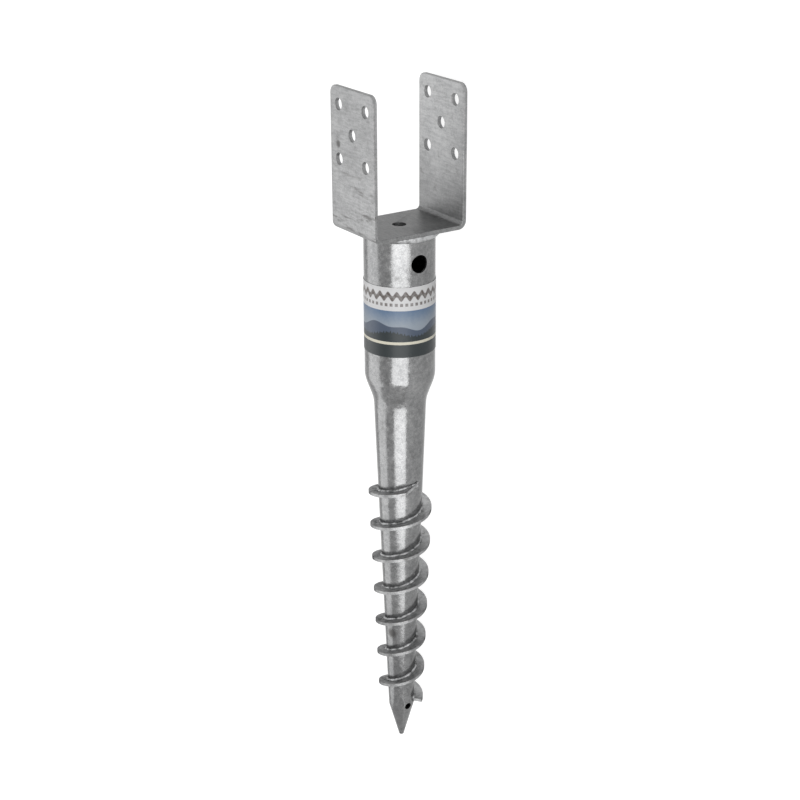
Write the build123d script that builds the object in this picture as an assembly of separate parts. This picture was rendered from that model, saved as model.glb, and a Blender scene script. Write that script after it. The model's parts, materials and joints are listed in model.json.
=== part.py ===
from build123d import *
import os
from math import asin, atan2, cos, degrees, hypot, radians

# A galvanised ground screw with a U-shaped post saddle: a folded steel saddle welded on a
# swaged tube, with a helical flight welded round the lower shank and a printed label.
#
# The screw is built standing: Z runs up the screw's axis, Z = 0 is the face of the saddle's
# base that a post stands on, X goes from ear to ear and Y runs along the saddle.
# It can't stand by itself, so at the end it is laid down as it comes to rest on a floor.

# ---------------------------------------------------------------- saddle
post_gap = 91.0          # clear width between the ears, for a 90 mm post
ear_height = 128.0       # top of the ears above the base's seat
saddle_width = 70.0      # along Y
plate = 4.0              # plate thickness
bend_inner_radius = 4.0
ear_corner_radius = 8.0
edge_round = 0.6         # sheared and punched edges, softened by the zinc
bolt_hole_diameter = 11.0
bolt_spread = 43.0       # between the outer holes, along Y
bolt_rise = 49.0         # between the lower and the upper holes
bolt_top_margin = 16.0   # upper holes below the top of the ear
base_hole_diameter = 13.0

# ---------------------------------------------------------------- tube
tube_diameter = 66.0
tube_wall = 2.5
collar_length = 141.0    # full-width tube, from the saddle's seat down to the neck
neck_length = 31.0
neck_radius = 24.6
shank_length = 328.0
cone_radius = 12.4
cone_length = 36.5
tip_radius = 2.3
solid_point = 14.0       # forged solid length at the very point
cross_hole_diameter = 17.0
cross_hole_depth = 29.5  # below the seat
drain_hole_diameter = 7.0
drain_hole_rise = 1.0    # above the top of the cone

# ---------------------------------------------------------------- flight
pitch = 35.0
flight_turns = 6.94
flight_rise_from_cone = 4.0
flight_start_angle = -53.7
flight_top_radius = 31.2
flight_bottom_radius = 21.7
flight_thickness = 3.0
flight_run_out = 38.0    # degrees over which the upper end runs out to the shank
run_out_height = 1.0     # what is left of the strip's height at the very end
flight_stretches = 7     # lengths, each about one turn, that the strip is built in

# ---------------------------------------------------------------- welds and label
weld_leg = 5.0
weld_bulge = 0.8         # how far the bead stands proud of a flat fillet
seat_clearance = 0.1     # between a tube and what is wrapped or welded round it
weld_side_reach = 1.7    # the bead's reach out from the tube at the saddle's open sides
label_top = 50.0         # below the seat
label_height = 67.0
label_thickness = 0.3
label_seam = 12.0        # width left bare at the back

# ---------------------------------------------------------------- worked out
tube_radius = tube_diameter / 2
ear_outer = post_gap / 2 + plate
bend_outer_radius = bend_inner_radius + plate
upper_holes = ear_height - bolt_top_margin
lower_holes = upper_holes - bolt_rise
bolt_places = [
    (-bolt_spread / 2, lower_holes),
    (bolt_spread / 2, lower_holes),
    (0, (lower_holes + upper_holes) / 2),
    (-bolt_spread / 2, upper_holes),
    (bolt_spread / 2, upper_holes),
]
# Depths below the seat.
neck_bottom = collar_length + neck_length
cone_top = neck_bottom + shank_length
tip = cone_top + cone_length
drain_hole_depth = cone_top - drain_hole_rise
flight_bottom = cone_top - flight_rise_from_cone
flight_rise = flight_turns * pitch
flight_top = flight_bottom - flight_rise
flight_taper = degrees(atan2(flight_top_radius - flight_bottom_radius, flight_rise))


def shank_radius(depth):
    """Outer radius of the tapered shank between the neck and the cone."""
    share = (depth - neck_bottom) / (cone_top - neck_bottom)
    return neck_radius + (cone_radius - neck_radius) * share


def flight_radius(depth):
    """Radius of the flight's rim."""
    share = (depth - flight_top) / flight_rise
    return flight_top_radius + (flight_bottom_radius - flight_top_radius) * share


def along_x(radius, length):
    """A cylinder along X, for holes through the ears."""
    return Rot(0, 90, 0) * Cylinder(radius, length)


def along_y(radius, length):
    """A cylinder along Y, for holes through the tube."""
    return Rot(90, 0, 0) * Cylinder(radius, length)


def make_saddle():
    """One plate folded into a U, with a bolt pattern in both ears and a hole in the base."""
    whole = Pos(0, (ear_height - plate) / 2) * Rectangle(2 * ear_outer, ear_height + plate)
    whole = fillet(whole.vertices().group_by(Axis.Y)[0], bend_outer_radius)
    gap = Pos(0, ear_height / 2 + plate) * Rectangle(post_gap, ear_height + 2 * plate)
    gap = fillet(gap.vertices().group_by(Axis.Y)[0], bend_inner_radius)
    section = Plane.XZ * (whole - gap)
    saddle = extrude(section, saddle_width / 2, both=True)
    ear_corners = saddle.edges().filter_by(Axis.X).group_by(Axis.Z)[-1]
    saddle = fillet(ear_corners, ear_corner_radius)
    smooth = saddle.faces().filter_by(GeomType.PLANE).filter_by(Axis.Y).edges()
    saddle = fillet(smooth, edge_round)
    for across, up in bolt_places:
        saddle -= Pos(0, across, up) * along_x(bolt_hole_diameter / 2, 4 * ear_outer)
    saddle -= Pos(0, 0, -plate / 2) * Cylinder(base_hole_diameter / 2, 4 * plate)
    rims = saddle.edges().filter_by(GeomType.CIRCLE).filter_by(
        lambda rim: rim.is_closed and rim.radius > edge_round
    )
    return fillet(rims, edge_round / 2)


def tube_profile(inset, top, bottom, end_radius):
    """Half section of the swaged tube, inset from its outside, with a soft S at the neck."""
    straight = tube_radius - inset
    narrow = neck_radius - inset
    point = cone_radius - inset
    neck = Spline(
        (straight, -collar_length),
        (narrow, -neck_bottom),
        tangents=[(0, -1), (cone_radius - neck_radius, neck_bottom - cone_top)],
        tangent_scalars=[0.9, 0.9],
    )
    outline = [
        Line((0, -top), (straight, -top)),
        Line((straight, -top), (straight, -collar_length)),
        neck,
        Line((narrow, -neck_bottom), (point, -cone_top)),
        Line((point, -cone_top), (end_radius, -bottom)),
        Line((end_radius, -bottom), (0, -bottom)),
        Line((0, -bottom), (0, -top)),
    ]
    return Plane.XZ * make_face(outline)


def make_tube():
    """Tube butted under the saddle, swaged down to a long shank and closed to a point."""
    outside = revolve(tube_profile(0, plate, tip, tip_radius), Axis.Z)
    inside = revolve(tube_profile(tube_wall, plate, tip - solid_point, tip_radius), Axis.Z)
    tube = outside - inside
    tube -= Pos(0, 0, -cross_hole_depth) * along_y(cross_hole_diameter / 2, 4 * tube_radius)
    drain = along_y(drain_hole_diameter / 2, 2 * cone_radius)
    tube -= Pos(0, -cone_radius, -drain_hole_depth) * drain
    return tube


def helix(depth, radius, taper, turns, start_angle):
    """A right-handed helix of the flight's pitch, from this depth up, that widens upwards."""
    true_pitch = pitch / cos(radians(taper))
    edge = Edge.make_helix(true_pitch, turns * pitch, radius, (0, 0, -depth), angle=taper)
    return edge.rotate(Axis.Z, start_angle)


def flight_edges(offset):
    """The flight's root and rim, stretch by stretch, this far above its lower side."""
    full_turns = flight_turns - flight_run_out / 360
    turns = full_turns / flight_stretches
    shank_taper = degrees(atan2(neck_radius - cone_radius, shank_length))
    edges = []
    for stretch in range(flight_stretches + 1):
        depth = flight_bottom - stretch * turns * pitch
        root_radius = shank_radius(depth - offset) + seat_clearance
        start = (depth - offset, root_radius, shank_taper)
        angle = stretch * turns * 360
        if stretch < flight_stretches:
            root = helix(*start, turns, angle)
            rim = helix(depth - offset, flight_radius(depth), flight_taper, turns, angle)
        else:
            root = helix(*start, flight_run_out / 360, angle)
            outward = Vector(1, 0, 0).rotate(Axis.Z, flight_turns * 360)
            rim = Line(rim @ 1, root @ 1 + outward * run_out_height).edge()
        edges.append((root, rim))
    return edges


def make_flight():
    """Flat strip wound round the shank, with a square lower end and a run-out upper end."""
    low = flight_edges(0)
    high = flight_edges(flight_thickness)
    faces = []
    for (low_root, low_rim), (high_root, high_rim) in zip(low, high):
        around = [low_root, low_rim, high_rim, high_root]
        for first, second in zip(around, around[1:] + around[:1]):
            faces.append(Face.make_surface_from_curves(first, second))
    for stretch, at in ((0, 0), (-1, 1)):
        corners = [edge @ at for edge in (*low[stretch], *reversed(high[stretch]))]
        faces.append(Face(Wire.make_polygon(corners)))
    return Rot(0, 0, flight_start_angle) * Solid(Shell(faces))


def make_saddle_weld():
    """Fillet bead round the tube, under the saddle's base, flattened at its open sides."""
    inner = tube_radius + seat_clearance
    middle = weld_leg / 2 + weld_bulge
    bead = make_face([
        Line((inner, -plate), (inner + weld_leg, -plate)),
        ThreePointArc(
            (inner + weld_leg, -plate),
            (inner + middle, -plate - middle),
            (inner, -plate - weld_leg),
        ),
        Line((inner, -plate - weld_leg), (inner, -plate)),
    ])
    ring = revolve(Plane.XZ * bead, Axis.Z)
    room = Box(4 * ear_outer, 2 * (inner + weld_side_reach), 8 * weld_leg)
    return ring & (Pos(0, 0, -plate) * room)


def make_label():
    """Printed film wrapped round the tube, with its two ends apart at the back."""
    inner = tube_radius + seat_clearance
    ring = Cylinder(inner + label_thickness, label_height) - Cylinder(inner, label_height)
    seam = Pos(0, tube_radius, 0) * Box(label_seam, tube_radius, 2 * label_height)
    return Pos(0, 0, -label_top - label_height / 2) * (ring - seam)


def rest_tilt():
    """Angle, in degrees, that the axis dips when an ear's bend and the flight touch a floor."""
    bend_from_axis = ear_outer - bend_outer_radius
    bend_depth = plate - bend_outer_radius
    tilts = []
    depth = flight_top + pitch
    while depth < flight_bottom:
        turn = (flight_bottom - depth) / pitch * 360 + flight_start_angle
        first = depth + (turn % 360) / 360 * pitch
        if first < flight_bottom:
            across = bend_from_axis - flight_radius(first)
            along = first - bend_depth
            slope = atan2(across, along) + asin(bend_outer_radius / hypot(across, along))
            tilts.append(degrees(slope))
        depth += pitch
    return min(tilts)


def lay_down(pieces):
    """Lay the screw on the floor, with its box's bottom centre at the origin."""
    laid = [Rot(0, 90 - rest_tilt(), 0) * piece for piece in pieces]
    box = Compound(laid).bounding_box()
    down = Pos(-box.center().X, -box.center().Y, -box.min.Z)
    return [down * piece for piece in laid], down * Rot(0, 90 - rest_tilt(), 0)


standing = {
    "saddle_bracket": make_saddle(),
    "tube_shank": make_tube(),
    "helical_flight": make_flight(),
    "saddle_weld": make_saddle_weld(),
    "printed_label": make_label(),
}
laid_pieces, laying = lay_down(list(standing.values()))

os.makedirs("parts", exist_ok=True)
for name, piece in zip(standing, laid_pieces):
    export_step(piece, f"parts/{name}.step")
print("rest tilt", round(rest_tilt(), 3))
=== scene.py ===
import json
from math import atan2, pi, radians, sin

import bmesh
import bpy
from mathutils import Matrix, Vector


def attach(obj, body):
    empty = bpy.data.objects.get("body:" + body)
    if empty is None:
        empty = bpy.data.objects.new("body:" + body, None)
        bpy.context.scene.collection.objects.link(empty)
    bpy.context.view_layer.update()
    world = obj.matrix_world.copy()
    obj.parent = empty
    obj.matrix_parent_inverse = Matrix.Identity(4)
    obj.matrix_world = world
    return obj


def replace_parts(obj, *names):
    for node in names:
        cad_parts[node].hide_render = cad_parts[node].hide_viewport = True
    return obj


# Looks for a galvanised ground screw with a U-shaped post saddle, lying on a pale floor.
#
# Lengths are in metres. The screw's own space has its origin in the middle of the saddle's
# seat. X goes from ear to ear, Y runs along the saddle, and Z goes up the screw's axis, so
# every place below the seat has a negative Z.

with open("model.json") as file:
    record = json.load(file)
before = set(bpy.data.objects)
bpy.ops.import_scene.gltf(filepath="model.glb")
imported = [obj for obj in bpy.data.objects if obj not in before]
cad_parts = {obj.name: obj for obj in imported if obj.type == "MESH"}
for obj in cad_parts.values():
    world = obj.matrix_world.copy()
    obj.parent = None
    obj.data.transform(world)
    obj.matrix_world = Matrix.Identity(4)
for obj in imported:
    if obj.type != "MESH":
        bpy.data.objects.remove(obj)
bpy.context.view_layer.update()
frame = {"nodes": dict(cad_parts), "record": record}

# ------------------------------------------------------------------ places and sizes

MOUNTS = {mount["name"]: mount for mount in frame["record"]["mounts"]}
BASE_BORE = MOUNTS["base_bore"]
AXIS = Vector(BASE_BORE["axis"])
PLATE = BASE_BORE["dims"]["length_mm"] / 1000
SEAT = Vector(BASE_BORE["pos_m"]) + AXIS * PLATE / 2
DIP = atan2(AXIS.z, AXIS.x)             # the axis dips this far from the ears to the point
EAR_OUTSIDE = MOUNTS["ear_bore_middle"]["dims"]["length_mm"] / 2000
EAR_MIDDLE = EAR_OUTSIDE - PLATE / 2    # halfway through the plate of an ear

LABEL_TOP = -0.050
LABEL_HEIGHT = 0.067

SHANK_TOP_RADIUS = 0.0246
SHANK_FOOT_RADIUS = 0.0124
SHANK_LENGTH = 0.328

FLIGHT_PITCH = 0.035
FLIGHT_TURNS = 6.94
FLIGHT_BOTTOM = -0.496
FLIGHT_START = radians(-53.7)           # where its lower end is, round the screw's axis
FLIGHT_THICKNESS = 0.003
FLIGHT_TOP_RIM = 0.0312                 # radius of the flight's rim at its upper end
FLIGHT_FOOT_RIM = 0.0217                # and at its lower end
FLIGHT_FOOT_ROOT = 0.01255              # radius of the shank at the flight's lower end

# How much the shank and the flight's rim widen for each metre up the screw.
SHANK_GROWTH = (SHANK_TOP_RADIUS - SHANK_FOOT_RADIUS) / SHANK_LENGTH
RIM_GROWTH = (FLIGHT_TOP_RIM - FLIGHT_FOOT_RIM) / (FLIGHT_PITCH * FLIGHT_TURNS)

BEAD_RADIUS = 0.0015
BEAD_SIDES = 8
BEAD_STEPS_PER_TURN = 60


def screw_space():
    """Matrix from the screw's own space to the frame."""
    return Matrix.Translation(SEAT) @ Matrix.Rotation(pi / 2 - DIP, 4, "Y")


# ------------------------------------------------------------------ node helpers


class Value:
    """A number from a socket, for use in a plain expression: each operator adds a Math node."""

    def __init__(self, nodes, socket):
        self.nodes = nodes
        self.socket = socket

    def maths(self, operation, *inputs):
        node = self.nodes.node(
            "ShaderNodeMath", {"operation": operation}, dict(enumerate(inputs))
        )
        return Value(self.nodes, node.outputs[0])

    def __add__(self, other):
        return self.maths("ADD", self, other)

    def __radd__(self, other):
        return self.maths("ADD", other, self)

    def __sub__(self, other):
        return self.maths("SUBTRACT", self, other)

    def __rsub__(self, other):
        return self.maths("SUBTRACT", other, self)

    def __mul__(self, other):
        return self.maths("MULTIPLY", self, other)

    def __rmul__(self, other):
        return self.maths("MULTIPLY", other, self)

    def __truediv__(self, other):
        return self.maths("DIVIDE", self, other)

    def __lt__(self, other):
        return self.maths("LESS_THAN", self, other)

    def __gt__(self, other):
        return self.maths("GREATER_THAN", self, other)

    def larger(self, other):
        return self.maths("MAXIMUM", self, other)

    def sine(self):
        return self.maths("SINE", self)

    def size(self):
        return self.maths("ABSOLUTE", self)

    def root(self):
        return self.maths("SQRT", self)

    def angle_from(self, across):
        return self.maths("ARCTAN2", self, across)


class Nodes:
    """The nodes of a material or a world, with one method that makes any of them."""

    def __init__(self, tree):
        self.tree = tree

    def node(self, kind, settings=None, inputs=None):
        made = self.tree.nodes.new(kind)
        for setting, given in (settings or {}).items():
            setattr(made, setting, given)
        for socket, given in (inputs or {}).items():
            self.feed(made.inputs[socket], given)
        return made

    def feed(self, socket, given):
        """Sets a socket to a number or a colour, or links a value or another socket to it."""
        if isinstance(given, Value):
            given = given.socket
        if isinstance(given, bpy.types.NodeSocket):
            self.tree.links.new(given, socket)
        else:
            socket.default_value = given

    def seen(self):
        """1 where something is seen, mirrored or looked at through glass, and 0 elsewhere."""
        paths = self.node("ShaderNodeLightPath")
        rays = ("Is Camera Ray", "Is Glossy Ray", "Is Transmission Ray")
        straight, mirrored, through = [Value(self, paths.outputs[ray]) for ray in rays]
        return straight.larger(mirrored).larger(through)


class Finish(Nodes):
    """A material under construction."""

    def __init__(self, name):
        self.material = bpy.data.materials.new(name)
        self.material.use_nodes = True
        super().__init__(self.material.node_tree)
        self.surface = self.tree.nodes["Principled BSDF"]
        self.place = self.node("ShaderNodeTexCoord").outputs["Object"]

    def put(self, **sockets):
        """Feeds the surface's own sockets, named with underscores for spaces."""
        for name, given in sockets.items():
            self.feed(self.surface.inputs[name.replace("_", " ")], given)

    def along_screw(self, scale=(1, 1, 1)):
        """Object coordinates turned into the screw's own space, and scaled."""
        centred = self.node(
            "ShaderNodeVectorMath", {"operation": "SUBTRACT"}, {0: self.place, 1: SEAT}
        )
        turned = self.node(
            "ShaderNodeVectorRotate",
            {"rotation_type": "Y_AXIS"},
            {"Vector": centred.outputs[0], "Angle": DIP - pi / 2},
        )
        scaled = self.node(
            "ShaderNodeVectorMath", {"operation": "MULTIPLY"}, {0: turned.outputs[0], 1: scale}
        )
        return scaled.outputs[0]

    def screw_axes(self):
        """X, Y and Z of a place in the screw's own space."""
        split = self.node("ShaderNodeSeparateXYZ", inputs={"Vector": self.along_screw()})
        return [Value(self, socket) for socket in split.outputs]

    def spot(self, centre, radius):
        """1 in a soft spot of this radius round a place in the screw's own space."""
        core = 0.3 * radius
        away = self.node(
            "ShaderNodeVectorMath", {"operation": "DISTANCE"}, {0: self.along_screw(), 1: centre}
        )
        return self.ramp(Value(self, away.outputs["Value"]), core, radius, 1.0, 0.0)

    def noise(self, size, where=None, detail=3.0, roughness=0.5):
        """Soft noise from 0 to 1 whose blots are about this many metres across."""
        inputs = {
            "Vector": where or self.place,
            "Scale": 1 / size,
            "Detail": detail,
            "Roughness": roughness,
        }
        return Value(self, self.node("ShaderNodeTexNoise", inputs=inputs).outputs["Fac"])

    def crystals(self, size):
        """A grey of its own for each zinc crystal, about this many metres across."""
        made = self.node(
            "ShaderNodeTexVoronoi",
            {"feature": "F1"},
            {"Vector": self.place, "Scale": 1 / size, "Randomness": 1.0},
        )
        split = self.node("ShaderNodeSeparateColor", inputs={"Color": made.outputs["Color"]})
        return Value(self, split.outputs[0])

    def ramp(self, value, low, high, start=0.0, end=1.0):
        """Maps low..high smoothly to start..end, and holds the ends."""
        made = self.node(
            "ShaderNodeMapRange",
            {"clamp": True, "interpolation_type": "SMOOTHSTEP"},
            {0: value, 1: low, 2: high, 3: start, 4: end},
        )
        return Value(self, made.outputs[0])

    def mix(self, share, first, second):
        """The first colour, with this share of the second."""
        made = self.node(
            "ShaderNodeMix", {"data_type": "RGBA"}, {0: share, 6: first, 7: second}
        )
        return made.outputs[2]

    def scaled(self, colour, factor):
        """A colour made brighter or darker by this factor."""
        made = self.node(
            "ShaderNodeVectorMath", {"operation": "SCALE"}, {0: colour, "Scale": factor}
        )
        return made.outputs[0]

    def bump(self, height, distance, strength, before=None):
        """A normal raised by this height, over an earlier bump's normal if there is one."""
        inputs = {"Height": height, "Distance": distance, "Strength": strength}
        if before is not None:
            inputs["Normal"] = before
        return self.node("ShaderNodeBump", inputs=inputs).outputs["Normal"]


def grey(level, warmth=0.0):
    """A grey of this level, with a touch more red than blue where its warmth is above 0."""
    return (level * (1 + warmth), level, level * (1 - warmth), 1.0)


# ------------------------------------------------------------------ zinc


class Zinc(Finish):
    """Hot-dip zinc: cloudy mottling, faint crystals, dull stains and tiny lumps.

    Its tone goes from 0, dark, to 1, light. Its dullness is the share of dull stain, and its
    level brightens or darkens the colour, which paints shade and light where a finish varies it.
    """

    def __init__(self, name, stain):
        super().__init__(name)
        cloud = self.noise(0.030, detail=4.0, roughness=0.6)
        self.mottle = self.noise(0.0042, detail=4.0, roughness=0.65)
        grain = self.noise(0.0011, detail=3.0, roughness=0.7)
        patches = self.ramp(0.25 * cloud + 0.4 * self.mottle + 0.35 * grain, 0.38, 0.62)
        self.tone = 0.85 * patches + 0.15 * self.crystals(0.0040)
        blotch = self.noise(0.011, detail=5.0, roughness=0.7)
        self.dullness = stain * self.ramp(blotch, 0.56, 0.72)
        self.level = 1.0

    def finish(self, dark, light, gloss, metal=0.94, edge_tint=0.8):
        """Paints the zinc between two greys.

        Gloss is its lowest roughness. A higher edge tint turns it lighter at a glancing angle.
        """
        colour = self.mix(self.tone, grey(dark, -0.012), grey(light, -0.004))
        colour = self.mix(self.dullness, colour, grey(0.6 * dark, 0.02))
        worn = self.mottle + 0.3 * self.dullness
        sag = self.bump(self.noise(0.018, detail=1.0), 0.0008, 0.3)
        self.put(
            Base_Color=self.scaled(colour, self.level),
            Metallic=metal,
            Roughness=self.ramp(worn, 0.3, 0.9, gloss, gloss + 0.18),
            Specular_Tint=grey(edge_tint),
            Normal=self.bump(self.noise(0.0026, detail=2.0), 0.00014, 0.5, sag),
        )
        return self.material


def paint_lower_shank_shade(zinc):
    """The lower shank and its flight get painted shade, darker towards the bottom, and one dark
    blemish.
    """
    shade_full_below = -0.405
    shade_gone_above = -0.300
    blemish = zinc.spot((-0.0145, -0.0058, -0.414), 0.0075)
    _, _, up = zinc.screw_axes()
    # Painted shade: the colour darkens towards the bottom of the shank.
    zinc.level = zinc.ramp(up, shade_full_below, shade_gone_above, 0.85, 1.0)
    zinc.dullness = zinc.dullness + blemish


def tube_finish():
    """Smooth, semi-bright zinc in patches of two dark greys."""
    zinc = Zinc("galvanised_tube", stain=0.5)
    paint_lower_shank_shade(zinc)
    return zinc.finish(dark=0.138, light=0.25, gloss=0.155)


def strip_finish():
    """Mottled strip whose rim gets painted shade, a little darker than its sides."""
    rim_shade_level = 0.72
    zinc = Zinc("galvanised_strip", stain=0.8)
    paint_lower_shank_shade(zinc)
    across, along, up = zinc.screw_axes()
    rim_radius = FLIGHT_FOOT_RIM + RIM_GROWTH * (up - FLIGHT_BOTTOM)
    past_rim = (across * across + along * along).root() - rim_radius
    # Painted shade: the colour darkens across the flight's rim.
    zinc.level = zinc.level * zinc.ramp(past_rim, -0.0008, -0.0002, 1.0, rim_shade_level)
    return zinc.finish(dark=0.24, light=0.54, gloss=0.42, edge_tint=0.08)


def plate_finish():
    """Rolled plate: fine streaks, scuffs and a blemish outside one ear, and painted shade between
    the ears, darker at the seat and lighter at the ear tops.
    """
    zinc = Zinc("galvanised_plate", stain=0.4)
    across, _, up = zinc.screw_axes()
    rolled = zinc.along_screw((1.0, 0.16, 1.0))
    streak = zinc.ramp(zinc.noise(0.0020, rolled, detail=3.0, roughness=0.6), 0.36, 0.64)
    zinc.tone = 0.7 * zinc.tone + 0.3 * streak

    scuff = zinc.ramp(zinc.noise(0.0055, rolled, detail=4.0, roughness=0.7), 0.52, 0.66)
    scuffed_below = 0.015
    clean_above = 0.085
    scuffed = (across < -EAR_MIDDLE) * zinc.ramp(up, scuffed_below, clean_above, 1.0, 0.1)
    blemish = zinc.spot((-EAR_OUTSIDE, 0.0225, 0.0765), 0.0045)
    zinc.dullness = zinc.dullness + 0.8 * scuff * scuffed + blemish

    # Painted shade and light: between the ears the colour darkens towards the seat and lightens
    # towards the ear tops.
    outside_level = 0.92
    seat_shade_level = 0.70
    ear_top_light_level = 1.08
    inside = across.size() < EAR_MIDDLE
    painted_inside_shade = zinc.ramp(up, 0.0, 0.105, seat_shade_level, ear_top_light_level)
    zinc.level = outside_level + inside * (painted_inside_shade - outside_level)
    return zinc.finish(dark=0.19, light=0.37, gloss=0.40, metal=0.7)


def weld_finish(name, dark, light, rough):
    """Weld bead under zinc: finely rippled, and a little duller than the tube."""
    weld = Finish(name)
    blot = weld.ramp(weld.noise(0.005, detail=4.0), 0.35, 0.65)
    weld.put(
        Base_Color=weld.mix(blot, grey(dark, -0.01), grey(light, -0.01)),
        Metallic=0.9,
        Roughness=weld.ramp(blot, 0, 1, rough, rough + 0.2),
        Normal=weld.bump(weld.noise(0.0022, detail=2.0), 0.0007, 0.9),
    )
    return weld.material


# ------------------------------------------------------------------ printed label


def heading_print(film, turn, down, fade):
    """A pale heading with a zigzag in brown ink and a row of dashes under it."""
    white = (0.62, 0.62, 0.625, 1.0)
    ink = (0.080, 0.064, 0.055, 1.0)
    zigzag_teeth = 26                   # round the whole tube, as are the dashes
    zigzag_middle = 0.125               # shares of the label's height, from its top
    zigzag_swing = 0.030
    dash_count = 44
    dash_middle = 0.245
    dash_reach = 0.022

    wave = (turn * zigzag_teeth).sine() * zigzag_swing
    zigzag = film.ramp((down - zigzag_middle - wave).size(), 0.030, 0.046, 1.0, 0.0)
    dash_row = (down - dash_middle).size() < dash_reach
    dashes = ((turn * dash_count).sine() > -0.2) * dash_row
    colour = film.mix(zigzag * fade, white, ink)
    return film.mix(dashes * fade * 0.85, colour, ink)


def hill_picture(film, turn, down, blot):
    """A far line of hills and a near one with trees, under a sky that pales downwards."""
    sky = (0.105, 0.165, 0.26, 1.0)
    low_sky = (0.27, 0.31, 0.36, 1.0)
    far_hill = (0.062, 0.082, 0.12, 1.0)
    near_hill = (0.018, 0.025, 0.028, 1.0)
    softness = 0.006                    # of a hill's outline
    trees = (turn * 63).sine() * 0.010 + (turn * 97).sine() * 0.008
    far_line = 0.56 + (turn * 3 + 0.4).sine() * 0.045 + (turn * 7).sine() * 0.022
    near_line = 0.665 + (turn * 4 + 1.9).sine() * 0.035 + trees
    colour = film.mix(film.ramp(down + 0.08 * blot, 0.34, 0.62), sky, low_sky)
    colour = film.mix(film.ramp(down - far_line, -softness, softness), colour, far_hill)
    return film.mix(film.ramp(down - near_line, -softness, softness), colour, near_hill)


def label_finish():
    """Printed film: a pale heading, a picture of rolling hills, a cream line, a dark foot."""
    cream = (0.62, 0.59, 0.49, 1.0)
    foot = (0.020, 0.026, 0.028, 1.0)
    picture_top = 0.33                  # shares of the label's height, from its top
    picture_foot = 0.775
    line_foot = 0.815

    film = Finish("printed_film")
    across, along, up = film.screw_axes()
    turn = along.angle_from(across)
    down = (LABEL_TOP - up) / LABEL_HEIGHT
    blot = film.noise(0.003, detail=3.0)
    fade = film.ramp(blot, 0.35, 0.7, 0.75, 1.0)

    colour = heading_print(film, turn, down, fade)
    colour = film.mix(down > picture_top, colour, hill_picture(film, turn, down, blot))
    colour = film.mix(down > picture_foot, colour, cream)
    colour = film.mix(down > line_foot, colour, foot)
    film.put(
        Base_Color=colour,
        Roughness=0.38,
        Specular_IOR_Level=0.3,
        Normal=film.bump(film.noise(0.010, detail=2.0), 0.0006, 0.3),
    )
    return film.material


# ------------------------------------------------------------------ pieces


def show(shape, name, material, smooth_angle=radians(32)):
    """Turns a bmesh into a smooth-shaded piece of the screw."""
    mesh = bpy.data.meshes.new(name)
    shape.to_mesh(mesh)
    shape.free()
    mesh.polygons.foreach_set("use_smooth", [True] * len(mesh.polygons))
    mesh.set_sharp_from_angle(angle=smooth_angle)
    mesh.materials.append(material)
    piece = bpy.data.objects.new(name, mesh)
    bpy.context.scene.collection.objects.link(piece)
    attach(piece, "root")
    return piece


def show_skin(node, name, material):
    """A merged, smooth-shaded copy of a solid, shown in its place."""
    merge_distance = 1e-6
    skin = bmesh.new()
    skin.from_mesh(frame["nodes"][node].data)
    bmesh.ops.remove_doubles(skin, verts=skin.verts, dist=merge_distance)
    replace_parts(show(skin, name, material), node)


def bead_ripple(along, side):
    """How far a bead swells out at this angle along it."""
    drops = 0.00025 * sin(23 * along)
    slow_waver = 0.0003 * sin(6.3 * along + side)
    return drops + slow_waver


def show_root_bead(name, material, side):
    """The weld along the flight's root, on its upper (1) or lower (-1) side."""
    bottom = FLIGHT_BOTTOM + (FLIGHT_THICKNESS if side > 0 else 0)
    bead = bmesh.new()
    ring = bmesh.ops.create_circle(
        bead, segments=BEAD_SIDES, radius=BEAD_RADIUS, cap_ends=True
    )
    bmesh.ops.rotate(bead, verts=ring["verts"], matrix=Matrix.Rotation(pi / 2, 3, "X"))
    bmesh.ops.translate(bead, verts=ring["verts"], vec=(FLIGHT_FOOT_ROOT, 0, bottom))
    steps = int(FLIGHT_TURNS * BEAD_STEPS_PER_TURN)
    bmesh.ops.spin(
        bead,
        geom=bead.verts[:] + bead.edges[:] + bead.faces[:],
        cent=(0, 0, 0),
        axis=(0, 0, 1),
        dvec=(0, 0, FLIGHT_PITCH * FLIGHT_TURNS / steps),
        angle=2 * pi * FLIGHT_TURNS,
        steps=steps,
        use_duplicate=False,
    )
    for vert in bead.verts:
        rise = vert.co.z - FLIGHT_BOTTOM
        ripple = bead_ripple(2 * pi * rise / FLIGHT_PITCH, side)
        outward = Vector((vert.co.x, vert.co.y, 0)).normalized()
        vert.co += outward * (SHANK_GROWTH * rise + ripple)
    placed = screw_space() @ Matrix.Rotation(FLIGHT_START, 4, "Z")
    bmesh.ops.transform(bead, matrix=placed, verts=bead.verts)
    bmesh.ops.recalc_face_normals(bead, faces=bead.faces)
    show(bead, name, material, radians(60))


saddle_weld = weld_finish("galvanised_weld", 0.24, 0.44, 0.34)
root_weld = weld_finish("galvanised_root_weld", 0.10, 0.50, 0.42)

show_skin("tube_shank", "tube_skin", tube_finish())
show_skin("saddle_bracket", "saddle_skin", plate_finish())
show_skin("helical_flight", "flight_skin", strip_finish())
show_skin("saddle_weld", "saddle_bead", saddle_weld)
show_skin("printed_label", "label_skin", label_finish())
show_root_bead("flight_bead_upper", root_weld, 1)
show_root_bead("flight_bead_lower", root_weld, -1)


# ------------------------------------------------------------------ floor, light and camera


def floor_finish():
    """Pale floor that is white to the eye and in reflections, but keeps a soft shadow."""
    glow = 0.88                         # the light that falls on the floor makes up the rest
    floor = Finish("pale_floor")
    floor.put(
        Base_Color=grey(0.32),
        Roughness=0.9,
        Emission_Color=grey(1.0),
        Emission_Strength=floor.seen() * glow,
    )
    return floor.material


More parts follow.
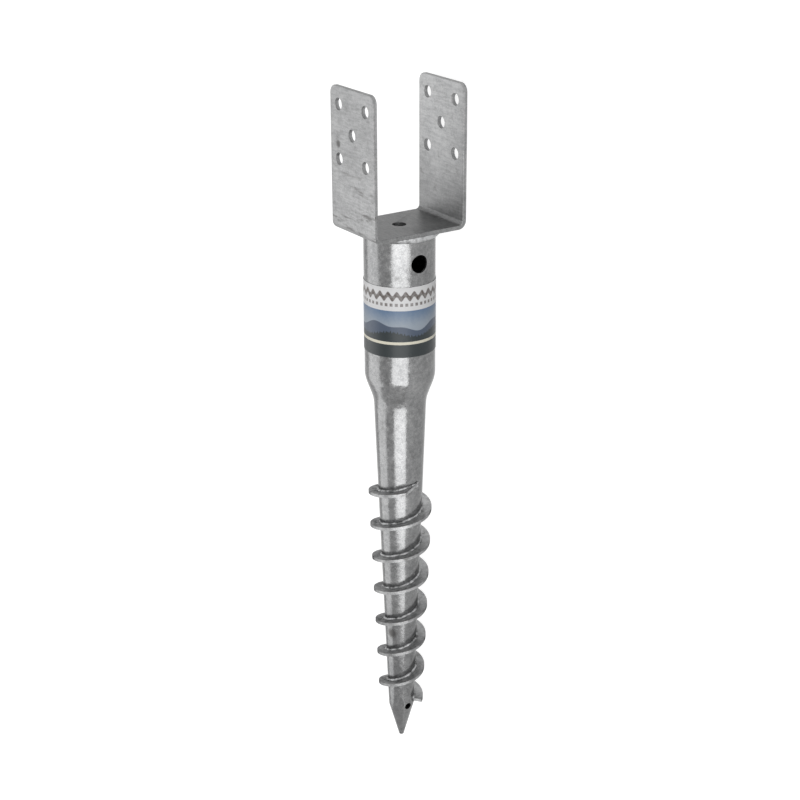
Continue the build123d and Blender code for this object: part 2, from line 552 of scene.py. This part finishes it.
def make_floor():
    reach = 8.0
    plane = bmesh.new()
    bmesh.ops.create_grid(plane, x_segments=1, y_segments=1, size=reach)
    mesh = bpy.data.meshes.new("floor")
    plane.to_mesh(mesh)
    plane.free()
    mesh.materials.append(floor_finish())
    floor = bpy.data.objects.new("floor", mesh)
    bpy.context.scene.collection.objects.link(floor)


def make_world():
    """White where it is seen or mirrored, and a plain soft level where it only lights."""
    soft_level = 0.17
    world = bpy.data.worlds.new("studio")
    bpy.context.scene.world = world
    world.use_nodes = True
    sky = Nodes(world.node_tree)
    background = sky.tree.nodes["Background"]
    sky.feed(background.inputs["Color"], grey(1.0))
    sky.feed(background.inputs["Strength"], soft_level + sky.seen() * (1 - soft_level))


def soft_lamp(name, place, aim, size, power):
    """A rectangular lamp at this place, turned to its aim, with its size in metres."""
    lamp = bpy.data.lights.new(name, "AREA")
    lamp.shape = "RECTANGLE"
    lamp.size, lamp.size_y = size
    lamp.energy = power
    holder = bpy.data.objects.new(name, lamp)
    holder.location = place
    holder.rotation_euler = (Vector(aim) - Vector(place)).to_track_quat("-Z", "Y").to_euler()
    bpy.context.scene.collection.objects.link(holder)


def make_camera():
    """Looks down on the lying screw, rolled so that it shows upright with its point down."""
    view = bpy.data.cameras.new("view")
    view.sensor_width = 36.0
    view.lens = 78.37
    view.clip_end = 50.0
    eye = (0.58987, -1.26930, 0.91734)
    azimuth = radians(23.7483)
    elevation = radians(32.3290)
    roll = radians(-100.6540)
    camera = bpy.data.objects.new("camera", view)
    camera.matrix_world = (
        Matrix.Translation(eye)
        @ Matrix.Rotation(azimuth, 4, "Z")
        @ Matrix.Rotation(pi / 2 - elevation, 4, "X")
        @ Matrix.Rotation(roll, 4, "Z")
    )
    bpy.context.scene.collection.objects.link(camera)
    bpy.context.scene.camera = camera


make_floor()
make_world()
soft_lamp(
    "front_softbox", place=(-0.42, -1.20, 0.75), aim=(-0.04, 0, 0.04), size=(1.2, 1.35), power=17.0
)
soft_lamp(
    "back_softbox", place=(-0.65, 1.05, 1.25), aim=(-0.45, 0, 0.04), size=(2.2, 1.5), power=15.0
)
soft_lamp(
    "side_softbox", place=(1.15, -0.75, 0.85), aim=(0, 0, 0.04), size=(1.0, 1.0), power=6.5
)
make_camera()
bpy.context.scene.view_settings.view_transform = "Standard"
